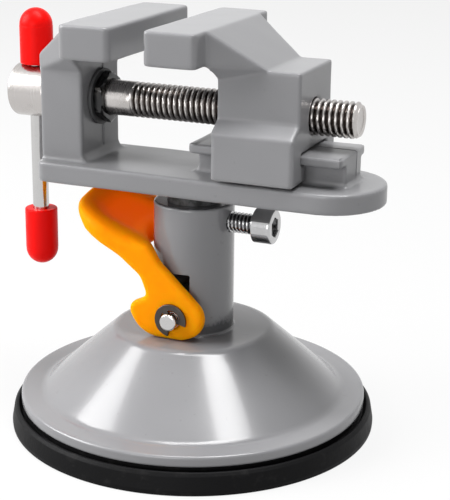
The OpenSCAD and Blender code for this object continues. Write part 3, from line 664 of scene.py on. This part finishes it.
bedCast = {"voxel": 0.46, "rounds": 5, "waves": 0.05}
jawCast = {"voxel": 0.4, "rounds": 6, "waves": 0.05}
seam = {
    "halfWidth": 0.35, "height": 0.3, "y": 1.4, "foot": 1.5, "below": 9.6, "railWidth": 0.22,
    "railHeight": 0.12, "sink": 0.15, "corner": 0.35, "railTop": 7.8, "railEnd": 46.5, "railStart": 4.0,
    "railFoot": 0.4, "rows": 120, "sides": 16, "shortest": 1e-3}
draft = {"end": 0.05, "top": 0.02, "railLength": 42.0, "railDepth": 8.0, "endSkin": 0.8, "topSkin": 0.4}


# The rail's top and end fall away from the parting line to both sides, as a mould needs
def draftRail(mesh, s, line):
    points = readPoints(mesh)
    x, y, z = points.T
    away = np.abs(y - line["y"])
    railTop = bedTop + line["railTop"]
    onRail = (x > line["railEnd"] - s["railLength"]) & (z > railTop - s["railDepth"])
    points[:, 0] -= s["end"] * away * onRail * (x > line["railEnd"] - s["endSkin"])
    points[:, 2] -= s["top"] * away * onRail * (np.abs(z - railTop) < s["topSkin"])
    writePoints(mesh, points)


bedMesh = castFrom("vise_bed", bedCast)
draftRail(bedMesh, draft, seam)
addPiece("bedCasting", bedMesh, "head", visePaint, ["vise_bed"], sharp=0)
addPiece("jawCasting", castFrom("movable_jaw", jawCast), "jaw", visePaint,
         ["movable_jaw"], sharp=0)


# The mould's parting line stands up from the casting as a fine ridge. It follows a path of
# (x, z) points; at each an ellipse's section stands square to the path, thinner to both ends.
def makeSeam(name, path, halfWidth, height, s):
    path = rounded(path)
    steps = np.linalg.norm(np.diff(path, axis=0), axis=1)
    path = path[np.concatenate([[True], steps > s["shortest"]])]
    length = np.concatenate([[0], np.cumsum(np.linalg.norm(np.diff(path, axis=0), axis=1))])
    spots = np.linspace(0, length[-1], s["rows"])
    x, z = np.interp(spots, length, path[:, 0]), np.interp(spots, length, path[:, 1])
    dx, dz = np.gradient(x), np.gradient(z)
    norm = np.hypot(dx, dz)
    outX, outZ = -dz / norm, dx / norm
    taper = np.sqrt(np.clip(np.minimum(spots, spots[-1] - spots), 0, 1))
    angle = anglesRound(s["sides"])
    lift = (height + s["sink"]) * np.cos(angle) * taper - s["sink"]
    y = np.broadcast_to(s["y"] + halfWidth * np.sin(angle) * taper, lift.shape)
    return meshFromGrid(name, np.stack([x + outX * lift, y, z + outZ * lift], -1))


# One seam runs up the fixed jaw's inner face, the other along the rail and down its end
def makeSeams(s):
    face, railTop, railEnd = boxOf("thrust_washer")[0][0], bedTop + s["railTop"], s["railEnd"]
    up = [(face, bedHigh[2] - s["below"], 0), (face, bedTop + s["foot"], 0)]
    along = [(s["railStart"], railTop, 0), (railEnd, railTop, s["corner"]),
             (railEnd, bedTop + s["railFoot"], 0)]
    return (makeSeam("partingSeam", up, s["halfWidth"], s["height"], s),
            makeSeam("railSeam", along, s["railWidth"], s["railHeight"], s))


for mesh in makeSeams(seam):
    addPiece(mesh.name, mesh, "head", visePaint, sharp=0)
print("castings made")


# A pair is the range over which a share of the change grows from 0 to 1. Heights are from the pin.
leverCast = {"voxel": 0.42, "rounds": 22, "waves": 0.04}
thumbRest = {
    "reach": 34.0, "halfWidth": 15.5, "corner": 13.2, "start": 7.5, "rise": 20.0, "angle": 21.2,
    "roll": 5.0, "rollDepth": 2.6, "rollUnder": 2.0, "scoop": 0.6, "rim": 9.0, "rollFrom": (1.0, -9.0),
    "rollBehind": (1.0, -7.0), "farLift": 2.0, "liftAcross": (-4.0, 14.0), "liftUp": (14.0, 18.0),
    "archRadius": 13.2, "archFade": 4.0, "skin": (2.2, 0.2), "facingUp": 0.1, "slabLow": 10.0,
    # The last values place the painted shade: in from the rim, down from the top, behind the start, and
    # at the heel
    "paintedShadeIn": (3.0, 10.0), "paintedShadeDown": (5.0, 1.0), "paintedShadeStart": 3.0, "paintedHeelShade": 0.8,
    "paintedHeelFrom": (-6.0, -9.0)}


# The thumb rest's top rolls down to its rim along a quarter of an ellipse, and is hollowed a
# little inside that. Both follow the distance in from the rim of a rounded rectangle. The far
# side is bent up. A share of painted shade grows towards the middle of the top, under the bed, and at
# the heel.
def sculptRest(mesh, s):
    points = readPoints(mesh)
    x, y, z = points.T
    outX = np.maximum(-x - (s["reach"] - s["corner"]), 0)
    outY = np.maximum(np.abs(y) - (s["halfWidth"] - s["corner"]), 0)
    inward = s["corner"] - np.hypot(outX, outY)
    top = pinZ + s["rise"] + (-x - s["start"]) * math.tan(math.radians(s["angle"]))
    height, past = z - pinZ, x + s["start"]
    normals = readRows(mesh.vertex_normals, "vector")
    onTop = smoothStep(*s["skin"], top - z) * (normals[:, 2] > s["facingUp"])
    fromColumn = np.hypot(x, y) - s["archRadius"]
    share = onTop * smoothStep(s["roll"], s["rim"], inward)
    share *= smoothStep(0, s["archFade"], fromColumn)
    near = np.clip(1 - inward / s["roll"], 0, 1)
    roll = (1 - np.sqrt(1 - near * near)) * smoothStep(*s["rollBehind"], past)
    roll *= smoothStep(*s["rollFrom"], y)
    below = np.clip(1 - (top - z) / (s["rollDepth"] + s["rollUnder"]), 0, 1)
    below *= height > s["slabLow"]
    bent = smoothStep(*s["liftAcross"], y) * smoothStep(*s["liftUp"], height)
    # Painted shade on the rest's top under the bed, and at the heel near the cone
    shade = smoothStep(*s["paintedShadeIn"], inward) * smoothStep(*s["paintedShadeDown"], top - z)
    shade *= past < s["paintedShadeStart"]
    foot = smoothStep(*s["paintedHeelFrom"], height) * s["paintedHeelShade"]
    points[:, 2] += s["farLift"] * bent - s["scoop"] * share - s["rollDepth"] * roll * below
    writePoints(mesh, points)
    addShare(mesh, "paintedDeepShade", np.maximum(shade, foot))


# A share for each vertex, which a material reads by its name
def addShare(mesh, name, values):
    attribute = mesh.attributes.new(name, "FLOAT", "POINT")
    attribute.data.foreach_set("value", values.astype(np.float32))


paintedRootShadeFrom = (0.2, 0.85)


# Painted shade darkens a thread's roots: its share grows with the depth below the crest over the full
# depth. Crests, and the head and free end, start from shares of their own. The bare shank takes none,
# so it stays lighter as a painted highlight.
def addPaintedThreadShade(mesh, height, s, start, end):
    x, y, z = readPoints(mesh).T
    radius = np.hypot(y, z - height)
    sunk = smoothStep(*paintedRootShadeFrom, (s["thread"] - radius) / s["depth"])
    inside = (x > start) & (x < end)
    crest = s["paintedCrestShade"] + (1 - s["paintedCrestShade"]) * sunk
    plain = s["paintedHeadShade"] * ((radius > s["thread"] + 0.1) | (x > 0))
    addShare(mesh, "paintedThreadShade", np.where(inside, crest, plain))


leverMesh = castFrom("cam_lever", leverCast)
sculptRest(leverMesh, thumbRest)
addPiece("camLever", leverMesh, "lever", leverPlastic, ["cam_lever"], sharp=0)
print("lever made")


pinShape = {"radius": 2.45, "bevel": 0.6, "grooveDepth": 0.5, "grooveIn": 1.9, "grooveWidth": 0.8}


# A round pin with bevelled ends and a groove near each end, turned about Y
def makePin(s):
    end, radius, deep = pinHigh[1], s["radius"], s["radius"] - s["grooveDepth"]
    outer, inner = end - s["grooveIn"], end - s["grooveIn"] - s["grooveWidth"]
    half = rounded([
        (radius, inner - 1, 0), (radius, inner, 0.1), (deep, inner, 0.1), (deep, outer, 0.1),
        (radius, outer, 0.12), (radius, end, s["bevel"]), (0, end, 0)], 4)
    profile = np.concatenate([(half * [1, -1])[::-1], half])
    return turnedMesh("leverPin", profile, 72, "y", (0, 0, pinZ))


addPiece("leverPin", makePin(pinShape), "stem", brightY, ["lever_pin"], sharp=50)


# The clips keep the solid's own mesh, with its flat faces joined, and their edges are broken a
# little, as stamping leaves them.
clipShape = {"flat": 0.8, "bevel": 0.1, "bevelAngle": 50}
clipMesh = plainCopy("pin_clips", math.radians(clipShape["flat"]))
clipMesh.name = "pinClips"
clips = addPiece("pinClips", clipMesh, "stem", clipMetal, ["pin_clips"])
soften = clips.modifiers.new("brokenEdges", "BEVEL")
soften.width, soften.segments = clipShape["bevel"] * mm, 2
soften.limit_method, soften.angle_limit = "ANGLE", math.radians(clipShape["bevelAngle"])
print("pin made")


screwShape = {
    "steps": 120, "pitch": 1.65, "depth": 0.9, "rowsPerPitch": 12, "hub": 7.6, "hubLength": 12.0,
    "hubRound": 1.0, "thread": 4.95, "threadStart": -18.0, "fade": 1.1, "tip": 0.8, "runOut": 0.7,
    "dish": 0.35, "dishRadius": 3.5, "barHole": 2.5, "barHoleReach": 12.0, "paintedCrestShade": 0.46,
    "paintedHeadShade": 0.4}


# Profile: the hub's face, its side and its inner face, the plain shank, the threaded length, and
# an end with a bevelled rim and a shallow dish. The thread's depth fades in within its first
# turn and out at the bevel, and is 0 in the dish.
def makeLeadScrew(s):
    start, end, thread, tip = screwLow[0], screwHigh[0], s["thread"], s["tip"]
    dish, begin = s["dishRadius"], s["threadStart"]
    hubEnd = start + s["hubLength"]
    head = rounded([
        (0, start, 0), (s["hub"], start, s["hubRound"]), (s["hub"], hubEnd, s["hubRound"]),
        (thread, hubEnd, 0.2), (thread, begin - s["fade"], 0)])
    rows = int((end - tip - begin) / s["pitch"] * s["rowsPerPitch"])
    threaded = np.linspace(begin, end - tip, rows)
    tail = rounded([
        (thread, end - tip + 0.02, 0), (thread - tip, end, 0.3), (dish, end, 0.2),
        (dish - 0.3, end - s["dish"], 0.2), (0, end - s["dish"], 0)])
    radius = np.concatenate([head[:, 0], np.full(rows, thread), tail[:, 0]])
    along = np.concatenate([head[:, 1], threaded, tail[:, 1]])
    depth = s["depth"] * smoothStep(begin - 0.2, begin + s["fade"], along)
    depth = depth * smoothStep(end + 0.1, end - tip * s["runOut"], along)
    depth = depth * (radius > dish + 0.1)
    cut = threadShare(along, s["pitch"], s["steps"]) * depth
    grid = turned(radius - cut, along, s["steps"], "x", (0, 0, screwZ))
    return meshFromGrid("leadScrew", grid)


barHole = makeHoleCutter(
    screwShape["barHole"], screwZ - screwShape["barHoleReach"], screwZ + screwShape["barHoleReach"],
    "z", (barX, 0, 0))
screwMesh = cutOut(makeLeadScrew(screwShape), [barHole])
# Painted shade in the lead screw's thread roots, hub and end
addPaintedThreadShade(screwMesh, screwZ, screwShape, screwShape["threadStart"] - screwShape["fade"],
         screwHigh[0] - screwShape["tip"] * screwShape["runOut"])
addPiece("leadScrew", screwMesh, "screw", screwMetal, ["lead_screw"], sharp=40)
print("lead screw made")


washerShape = {"hole": 5.0, "soft": 0.2}
nutShape = {
    "steps": 144, "flats": 13.0, "sharpness": 60, "bore": 4.98, "boreEdge": 5.28, "face": 6.4,
    "bevel": 6.9, "bevelDepth": 0.2, "corner": 7.35, "cornerDepth": 0.5}


# A flat ring with rounded rims, turned about the screw's axis
def makeWasher(s):
    low, high = boxOf("thrust_washer")
    hole, soft, across, middle = s["hole"], s["soft"], high[1], (low[0] + high[0]) / 2
    profile = rounded([
        (hole, middle, 0), (hole, low[0], soft), (across, low[0], soft), (across, high[0], soft),
        (hole, high[0], soft), (hole, middle, 0)], 4)
    return turnedMesh("thrustWasher", profile, 96, "x", (0, 0, screwZ))


# The nut's radius is a hexagon's, held within a cone near each face. The rows run from the bore
# over one face, the flats and the other face, each with its limit and its depth from its face.
def makeNut(s):
    low, high = boxOf("retaining_nut")
    bore, rim, corner = (s["bore"], 0), (s["boreEdge"], 0), (s["corner"], s["cornerDepth"])
    bevel = (s["bevel"], s["bevelDepth"])
    near = np.array([bore, rim, (s["face"], 0), bevel, corner])
    far = np.array([corner, bevel, (s["face"], 0), (s["boreEdge"] + 0.2, 0), rim, (s["bore"], 0.3)])
    limit = np.concatenate([near, far])[:, 0]
    x = np.concatenate([low[0] + near[:, 1], high[0] - far[:, 1]])
    radius = np.minimum(hexRadius(s["flats"], s["steps"], s["sharpness"]), limit)
    grid = turned(radius, x, s["steps"], "x", (0, 0, screwZ))
    return meshFromGrid("retainingNut", grid, True, True)


addPiece("thrustWasher", makeWasher(washerShape), "head", washerMetal, ["thrust_washer"])
addPiece("retainingNut", makeNut(nutShape), "screw", blackMetal, ["retaining_nut"],
         sharp=30)


capShape = {
    "steps": 96, "radius": 4.75, "bore": 2.36, "endThickness": 4.8, "mouthRound": 0.5, "lip": 0.05,
    "domeRows": 20}


# A cap's profile: its blind bore, its mouth, a straight side with a fine moulding line where the
# round end starts, and that end as a quarter circle. Direction is +1 with the mouth downwards.
def makeCap(name, low, high, direction, s):
    length, radius, lip = high[2] - low[2], s["radius"], s["radius"] - s["lip"]
    side, blind = length - radius, length - s["endThickness"]
    body = rounded([
        (0, blind, 0), (s["bore"], blind, 0.2), (s["bore"], 0, 0.2), (radius, 0, s["mouthRound"]),
        (radius, side - 0.3, 0.06), (lip, side - 0.2, 0.06), (lip, side, 0)])
    angle = np.linspace(0.03, np.pi / 2, s["domeRows"])
    dome = np.stack([lip * np.cos(angle), side + radius * np.sin(angle)], -1)
    profile = np.concatenate([body, dome]) * [1, direction]
    mouth = low[2] if direction > 0 else high[2]
    return turnedMesh(name, profile, s["steps"], "z", (barX, 0, mouth))


# A cylinder with softened rims, as wide as the solid, turned about its own axis
def makeBar():
    r, bottom, top = (barHigh[0] - barLow[0]) / 2, barLow[2], barHigh[2]
    profile = rounded([(0, bottom, 0), (r, bottom, 0.4), (r, top, 0.4), (0, top, 0)])
    return turnedMesh("handleBar", profile, 64, "z", (barX, 0, 0))


addPiece("handleBar", makeBar(), "handle", brightZ, ["handle_bar"])
for name, node, direction in (("upperCap", "upper_cap", 1), ("lowerCap", "lower_cap", -1)):
    addPiece(name, makeCap(name, *boxOf(node), direction, capShape), "handle",
             capPlastic, [node], sharp=60)
print("handle made")


clampShape = {
    "steps": 288, "pitch": 1.1, "depth": 0.6, "rowsPerPitch": 12, "thread": 2.95, "head": 4.9,
    "headLength": 5.6, "headRound": 1.0, "tip": 1.0, "soft": 0.1, "fade": 0.8, "socket": 5.0,
    "socketDepth": 2.6, "socketRim": 3.2, "socketBevel": 0.25, "socketPoint": 0.6, "sharpness": 90,
    "knurls": 72, "knurlDepth": 0.07, "knurlIn": 0.4, "paintedCrestShade": 0.0, "paintedHeadShade": 0.0}


# Profile: tip, thread, underside of the head, its knurled side, its rounded end, and the hexagon
# socket with its drilled point. The knurl is a cosine round the side, and the thread a moving vee.
def makeClampScrew(s):
    start, end, thread, side, steps = clampLow[0], clampHigh[0], s["thread"], s["head"], s["steps"]
    tip, soft, fade, bevel = s["tip"], s["soft"], s["fade"], s["socketBevel"]
    under, begin = end - s["headLength"], start + tip
    rows = int((under - begin) / s["pitch"] * s["rowsPerPitch"])
    threaded = np.linspace(begin, under - soft / 2, rows)
    head = rounded([
        (thread, under, 0), (side, under, 0.3), (side, end, s["headRound"]), (s["socketRim"], end, 0)])
    radius = np.concatenate([[0, thread - tip, thread - soft], np.full(rows, thread), head[:, 0]])
    along = np.concatenate([[start, start, begin - soft], threaded, head[:, 1]])
    depth = s["depth"] * smoothStep(start + fade, start + 2 * fade, along)
    depth = depth * smoothStep(under - soft, under - soft - fade, along)
    shape = radius - threadShare(along, s["pitch"], steps) * depth
    ribs = 0.5 - 0.5 * np.cos(s["knurls"] * anglesRound(steps))
    onSide = (radius > side - 0.02) & (along > under + s["knurlIn"]) & (along < end - s["headRound"])
    shape = shape - s["knurlDepth"] * ribs * onSide
    hexagon = hexRadius(s["socket"], steps, s["sharpness"])
    floor = end - s["socketDepth"]
    socket = [hexagon + bevel, hexagon, hexagon, hexagon * 0]
    places = np.concatenate([along, [end, end - bevel, floor, floor - s["socketPoint"]]])
    grid = turned(np.concatenate([shape] + socket, 1), places, steps, "x", (0, 0, clampZ))
    return meshFromGrid("clampScrew", grid)


clampMesh = makeClampScrew(clampShape)
# Painted shade in the clamp screw's thread roots
addPaintedThreadShade(clampMesh, clampZ, clampShape, clampLow[0] + clampShape["tip"],
         clampHigh[0] - clampShape["headLength"] - clampShape["soft"])
addPiece("clampScrew", clampMesh, "clamp", clampMetal, ["clamp_screw"], sharp=40)
print("clamp screw made")


cupShape = {
    "steps": 256, "edge": 52.5, "lipHeight": 6.2, "lipIn": 50.5, "floorIn": 49.7, "ledge": 4.6,
    "seatOut": 48.6, "seatHeight": 6.6, "seatIn": 39.6, "disc": 3.2, "boss": 13.0, "bossHeight": 8.5,
    "bossSink": 0.4, "stud": 2.8, "pocketHeight": 6.7, "pocket": 10.3, "pocketFloor": 4.3,
    "ringDepth": 0.25, "rings": 5, "ringRows": 90, "edgeWidth": 9.0}


# Profile: the underside with shallow cosine rings inside its sealing edge, the outer side, the
# lip, the groove inside it, the seat of the housing's rim, and the disc.
def makeCup(s):
    edge, lip, lipTop, ledge = s["edge"], s["lipIn"], s["lipHeight"], s["ledge"]
    seatTop, seatOut, seatIn, disc = s["seatHeight"], s["seatOut"], s["seatIn"], s["disc"]
    sealIn = edge - s["edgeWidth"]
    inner = np.linspace(0, sealIn, s["ringRows"])
    wave = 0.5 - 0.5 * np.cos(2 * np.pi * s["rings"] * inner / sealIn)
    under = np.stack([inner, s["ringDepth"] * (1 + wave)], -1)
    shell = rounded([
        (sealIn + 0.3, 0.2, 0), (sealIn + 1, 0, 0.5), (edge - 0.1, 0, 0.5), (edge, 1.4, 1),
        (edge - 0.7, lipTop - 0.9, 0.8), (lip + 0.6, lipTop, 0.5), (lip, lipTop, 0.3),
        (s["floorIn"], ledge, 0.3), (seatOut, ledge, 0.2), (seatOut - 0.3, seatTop, 0.3),
        (seatIn, seatTop, 0.8), (seatIn - 2, disc, 2.0), (0, disc, 0)])
    return turnedMesh("suctionCup", np.concatenate([under, shell]), s["steps"])


# Profile of the boss in the cup's middle: its foot sunk in the disc, its wall, and the pocket of
# the steel plate, which lifts it.
def makeBoss(s):
    disc, boss, top, stud = s["disc"], s["boss"], s["bossHeight"], s["stud"]
    pocket, roof, floor = s["pocket"], s["pocketHeight"], s["pocketFloor"]
    profile = rounded([
        (0, disc - s["bossSink"], 0), (boss + 1.4, disc - s["bossSink"], 0.1),
        (boss + 0.5, disc + 0.3, 1.0), (boss, top, 0.5), (stud, top, 0.2), (stud, roof, 0.1),
        (pocket, roof, 0.1), (pocket, floor, 0.1), (0, floor, 0)])
    return turnedMesh("cupBoss", profile, s["steps"])


addPiece("suctionCup", makeCup(cupShape), "base", cupRubber, ["suction_cup"], sharp=50)
cupBoss = addPiece("cupBoss", makeBoss(cupShape), None, cupRubber, sharp=50)
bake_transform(cupBoss)

springShape = {"turns": 4, "radius": 6.0, "wire": 0.5, "stepsPerTurn": 48, "sides": 16, "keep": 0.54}


# A tube along a helix: each ring of the tube stands in the plane of the helix's radius and the
# axis, and the two end rings shrink to points.
def makeSpring(s):
    low, high = boxOf("release_spring")
    rings = s["turns"] * s["stepsPerTurn"] + 1
    turn = np.linspace(0, 2 * np.pi * s["turns"], rings)[:, None]
    around = anglesRound(s["sides"]).T
    wire = np.full((rings, 1), s["wire"])
    wire[[0, -1]] = 0
    radius = s["radius"] + wire * np.cos(around)
    climb = np.linspace(low[2] + s["wire"], high[2] - s["wire"], rings)[:, None]
    grid = np.stack([radius * np.cos(turn), radius * np.sin(turn), climb + wire * np.sin(around)], -1)
    return meshFromGrid("releaseSpring", grid, False, True)


spring = addPiece("releaseSpring", makeSpring(springShape), "base", wireMetal,
                  ["release_spring"], sharp=60)
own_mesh(spring)
print("cup and spring made")


# The camera stands where the photograph was taken from: a point at a distance along its own
# backward direction from a place near the object's middle, turned a little about its view.
camera = {
    "azimuth": 22.5655, "elevation": 17.5046, "roll": 0.7172, "distance": 409.292, "right": 8.770,
    "up": 48.241, "lens": 100.026, "sensor": 36, "clip": (0.01, 20)}


def placeCamera():
    a, e, t = (math.radians(camera[k]) for k in ("azimuth", "elevation", "roll"))
    right = Vector((math.cos(a), math.sin(a), 0))
    back = Vector((math.sin(a) * math.cos(e), -math.cos(a) * math.cos(e), math.sin(e)))
    up = back.cross(right)
    place = right * camera["right"] + up * camera["up"] + back * camera["distance"]
    rolledRight = right * math.cos(t) + up * math.sin(t)
    rolledUp = up * math.cos(t) - right * math.sin(t)
    data = bpy.data.cameras.new("photoCamera")
    data.lens = camera["lens"]
    data.sensor_width = camera["sensor"]
    data.clip_start, data.clip_end = camera["clip"]
    shown = newObject("photoCamera", data)
    turn = Matrix((rolledRight, rolledUp, back)).transposed()
    shown.matrix_world = Matrix.Translation(place * mm) @ turn.to_4x4()
    bpy.context.scene.camera = shown


# Each lamp is a softbox: where it stands and what it points at in metres, its sides and power.
# The world's strength counts for all but what the camera, gloss and glass see.
stage = {"world": 0.12, "floorSide": 4.0, "floorGray": (0.52, 0.52, 0.52, 1), "floorWhite": 0.84}
lamps = {
    "keyLeft": {"place": (-0.55, -0.25, 0.41), "aim": (0, 0, 0.06), "size": (0.46, 0.46), "power": 7.0},
    "overhead": {"place": (0.0, 0.05, 1.1), "aim": (0, 0, 0.05), "size": (0.5, 0.5), "power": 10.0},
    "highRight": {"place": (0.36, -0.08, 0.95), "aim": (0, 0, 0.06), "size": (0.3, 0.3), "power": 5.0},
    "front": {"place": (0.0, -1.05, 0.26), "aim": (0, 0, 0.06), "size": (0.6, 0.4), "power": 3.2}}


def addLamp(name, lamp):
    data = bpy.data.lights.new(name, "AREA")
    data.shape = "RECTANGLE"
    data.size, data.size_y = lamp["size"]
    data.energy = lamp["power"]
    shown = newObject(name, data)
    shown.location = lamp["place"]
    shown.rotation_mode = "QUATERNION"
    toward = Vector(lamp["aim"]) - Vector(lamp["place"])
    shown.rotation_quaternion = toward.to_track_quat("-Z", "Y")


# 1 for rays of the named kinds and 0 for others: the highest of the kinds' values
def rayIs(tree, *kinds):
    path = addNode(tree, "LightPath").outputs
    share = 0.0
    for kind in kinds:
        share = mathNode("MAXIMUM", share, path[f"Is {kind} Ray"])
    return share


# White for what the camera, gloss and glass see, and a soft grey light for everything else
def makeWorld(strength):
    world = bpy.data.worlds.new("paleRoom")
    bpy.context.scene.world = world
    world.use_nodes = True
    tree = world.node_tree
    tree.nodes.clear()
    seen = rayIs(tree, "Camera", "Glossy", "Transmission")
    level = rampNode(seen, 0.0, 1.0, strength, 1.0)
    light = addNode(tree, "Background", {"Color": (1, 1, 1, 1), "Strength": level})
    addNode(tree, "OutputWorld", {0: light.outputs[0]})


# Pale floor: plain and matt for the light, and mostly white to the camera, with the shadow kept
def makeFloor(side, gray, whiteShare):
    mesh = bpy.data.meshes.new("floor")
    mesh.from_pydata([(-side, -side, 0), (side, -side, 0), (side, side, 0), (-side, side, 0)],
                     [], [(0, 1, 2, 3)])
    floor = newObject("floor", mesh)
    material, tree = startMaterial("paleFloor")
    matt = addNode(tree, "BsdfDiffuse", {"Color": gray})
    white = addNode(tree, "Emission", {"Color": (1, 1, 1, 1), "Strength": 1.0})
    share = times(rayIs(tree, "Camera", "Glossy"), whiteShare)
    mixed = addNode(tree, "MixShader", {0: share, 1: matt.outputs[0], 2: white.outputs[0]})
    addNode(tree, "OutputMaterial", {0: mixed.outputs[0]})
    mesh.materials.append(material)


placeCamera()
makeWorld(stage["world"])
makeFloor(stage["floorSide"], stage["floorGray"], stage["floorWhite"])
for name, lamp in lamps.items():
    addLamp(name, lamp)
bpy.context.scene.view_settings.view_transform = "Standard"
print("camera and lamps placed")
